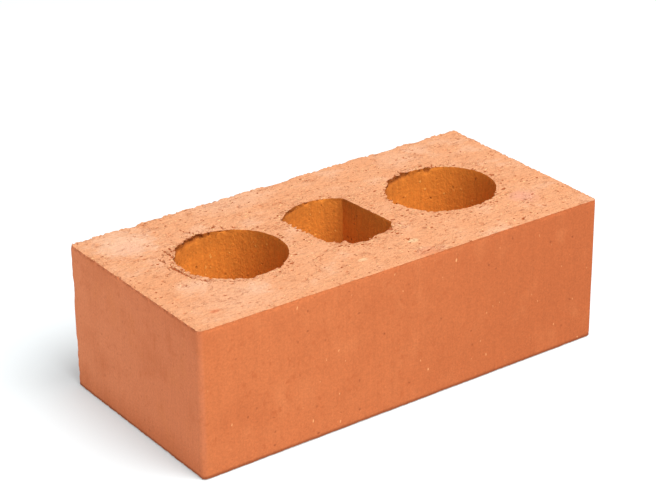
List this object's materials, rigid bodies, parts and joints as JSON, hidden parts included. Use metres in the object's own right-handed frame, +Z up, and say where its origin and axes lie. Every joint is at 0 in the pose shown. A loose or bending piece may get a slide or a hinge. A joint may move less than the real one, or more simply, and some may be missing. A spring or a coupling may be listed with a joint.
{
  "type": "clay brick",
  "caption": "Extruded wire-cut clay brick with two round cores and a flat-sided middle core running from bed to bed, for laying in mortar.",
  "frame": {"origin": "centre of the lower bed face, which lies on the floor or the mortar", "axes": "+X along the length, +Y along the width, +Z up, along the cores"},
  "size_m": [0.222, 0.107, 0.072],
  "materials": {
    "fired_clay": "matt fired terracotta, smooth sides and rough wire-cut beds"
  },
  "bodies": {
    "root": {"brick": "fired_clay"}
  },
  "joints": []
}
